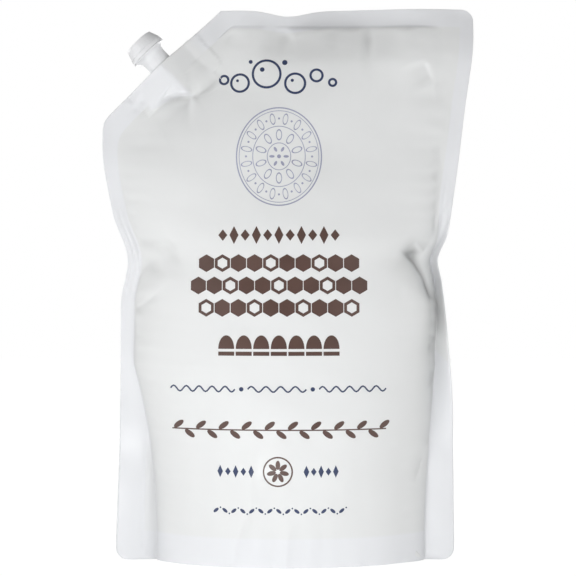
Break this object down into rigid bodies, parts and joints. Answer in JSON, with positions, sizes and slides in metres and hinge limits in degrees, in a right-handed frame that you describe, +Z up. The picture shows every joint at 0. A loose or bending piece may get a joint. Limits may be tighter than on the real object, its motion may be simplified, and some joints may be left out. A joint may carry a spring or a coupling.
{
  "type": "hand soap refill pack",
  "caption": "Full stand-up refill pouch of liquid hand soap with flat welded seals, a bottom gusset and a screw-capped spout in a slanted corner.",
  "frame": {"origin": "Middle of the footprint, on the surface the pouch stands on.", "axes": "+Z is up, +X is to the right as seen from the printed front, which faces -Y. The spout is in the upper left corner, at -X and +Z."},
  "size_m": [0.2099, 0.085, 0.3109],
  "materials": {
    "film": "satin",
    "spout_plastic": "satin",
    "cap_plastic": "satin",
    "liner_foam": "matte"
  },
  "bodies": {
    "pack": {"pouch": "film", "spout": "spout_plastic", "tamper_band": "cap_plastic"},
    "liner": {"cap_liner": "liner_foam"},
    "cap": {"cap": "cap_plastic"}
  },
  "joints": [
    {"name": "cap_lift", "type": "slide", "parent": "pack", "child": "liner", "axis": [-0.693, 0, 0.721], "range_m": [0, 0.0027]},
    {"name": "cap_turn", "type": "hinge", "parent": "liner", "child": "cap", "pos_m": [-0.08154, 0, 0.28876], "axis": [-0.693, 0, 0.721], "range_deg": [0, 360]}
  ],
  "couplings": [
    {"joint": "cap_turn", "follows": "cap_lift", "rad_per_m": 2327.1}
  ]
}
